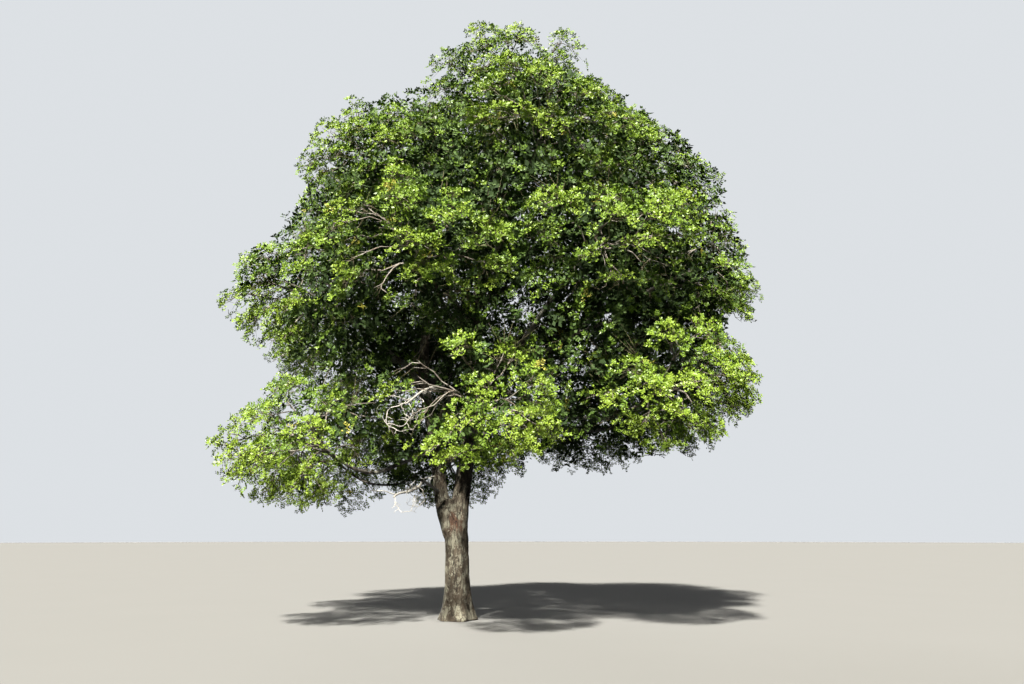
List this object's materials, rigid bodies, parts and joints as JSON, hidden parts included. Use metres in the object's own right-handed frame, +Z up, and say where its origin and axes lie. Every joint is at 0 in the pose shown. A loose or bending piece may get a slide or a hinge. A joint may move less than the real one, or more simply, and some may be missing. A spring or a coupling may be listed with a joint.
{
  "type": "sneezewood tree",
  "caption": "Broad evergreen tree: a stout flared trunk that forks low, crooked pale boughs and a full, rounded crown of separate leafy masses, with bare dead limbs low at the front.",
  "frame": {"origin": "middle of the flat cut under the trunk, at ground level", "axes": "+Z up, +X towards the open side that the crown leans to, -Y towards the front of the tree, where the picture is taken from"},
  "size_m": [11.161, 10.8648, 11.7545],
  "materials": {
    "bark": "rough grey-brown bark, fissured lengthwise, with pale lichen and a reddish-brown patch where it has flaked",
    "bough_bark": "pale grey bark, blotched with lichen",
    "dead_wood": "bare weathered wood, silver grey",
    "foliage": "leathery leaves, bright yellow-green in the light and deep green inside the crown"
  },
  "bodies": {
    "root": {"trunk": "bark", "left_stem": "bough_bark", "right_stem": "bough_bark", "top_bough_2": "bough_bark", "top_bough_3": "bough_bark", "upper_bough_1": "bough_bark", "upper_bough_2": "bough_bark", "upper_bough_3": "bough_bark", "upper_bough_5": "bough_bark", "upper_bough_6": "bough_bark", "middle_bough_1": "bough_bark", "middle_bough_2": "bough_bark", "middle_bough_3": "bough_bark", "middle_bough_4": "bough_bark", "middle_bough_5": "bough_bark", "middle_bough_6": "bough_bark", "middle_bough_7": "bough_bark", "middle_bough_8": "bough_bark", "skirt_bough_1": "bough_bark", "skirt_bough_2": "bough_bark", "skirt_bough_3": "bough_bark", "skirt_bough_4": "bough_bark", "skirt_bough_5": "bough_bark", "skirt_bough_6": "bough_bark", "skirt_bough_7": "bough_bark", "dead_limb_1": "dead_wood", "dead_limb_2": "dead_wood", "upper_foliage_4": "foliage", "top_foliage_1": "foliage", "top_foliage_2": "foliage", "top_foliage_3": "foliage", "upper_foliage_1": "foliage", "upper_foliage_2": "foliage", "upper_foliage_3": "foliage", "upper_foliage_5": "foliage", "upper_foliage_6": "foliage", "middle_foliage_1": "foliage", "middle_foliage_2": "foliage", "middle_foliage_3": "foliage", "middle_foliage_4": "foliage", "middle_foliage_5": "foliage", "middle_foliage_6": "foliage", "middle_foliage_7": "foliage", "middle_foliage_8": "foliage", "skirt_foliage_1": "foliage", "skirt_foliage_2": "foliage", "skirt_foliage_3": "foliage", "skirt_foliage_4": "foliage", "skirt_foliage_5": "foliage", "skirt_foliage_6": "foliage", "skirt_foliage_7": "foliage"}
  },
  "joints": []
}
